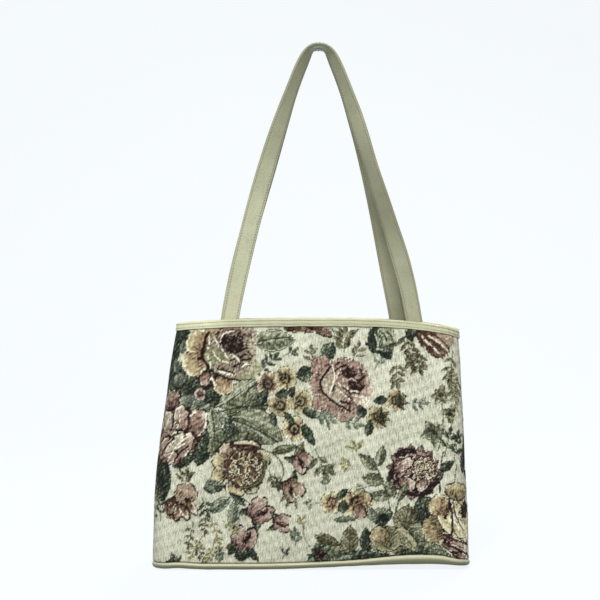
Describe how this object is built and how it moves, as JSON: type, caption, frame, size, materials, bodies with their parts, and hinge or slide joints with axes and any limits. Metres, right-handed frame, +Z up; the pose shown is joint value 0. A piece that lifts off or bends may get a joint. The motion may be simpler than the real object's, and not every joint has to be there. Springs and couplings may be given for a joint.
{
  "type": "carpet bag",
  "caption": "Carpet bag: soft tote of floral woven tapestry with a leather-bound rim, piped leather base, cloth lining and twin leather shoulder straps shown as they hang.",
  "frame": {"origin": "on the ground under the middle of the base", "axes": "+X to the right seen from the front, -Y the front, +Z up towards the straps"},
  "size_m": [0.332, 0.0944, 0.5495],
  "materials": {
    "tapestry": "woven jacquard with a ribbed ground and dusky flowers",
    "binding_leather": "smooth pale khaki, soft sheen, stitched in two rows",
    "strap_leather": "smooth pale khaki, soft sheen, stitched along both edges",
    "piping_leather": "smooth pale khaki, soft sheen",
    "base_leather": "smooth pale khaki, matt",
    "lining_cloth": "plain weave cotton, matt"
  },
  "bodies": {
    "root": {"front_panel": "tapestry", "back_panel": "tapestry", "base_panel": "base_leather", "base_piping": "piping_leather", "rim_binding": "binding_leather", "lining": "lining_cloth", "front_strap": "strap_leather", "back_strap": "strap_leather"}
  },
  "joints": []
}
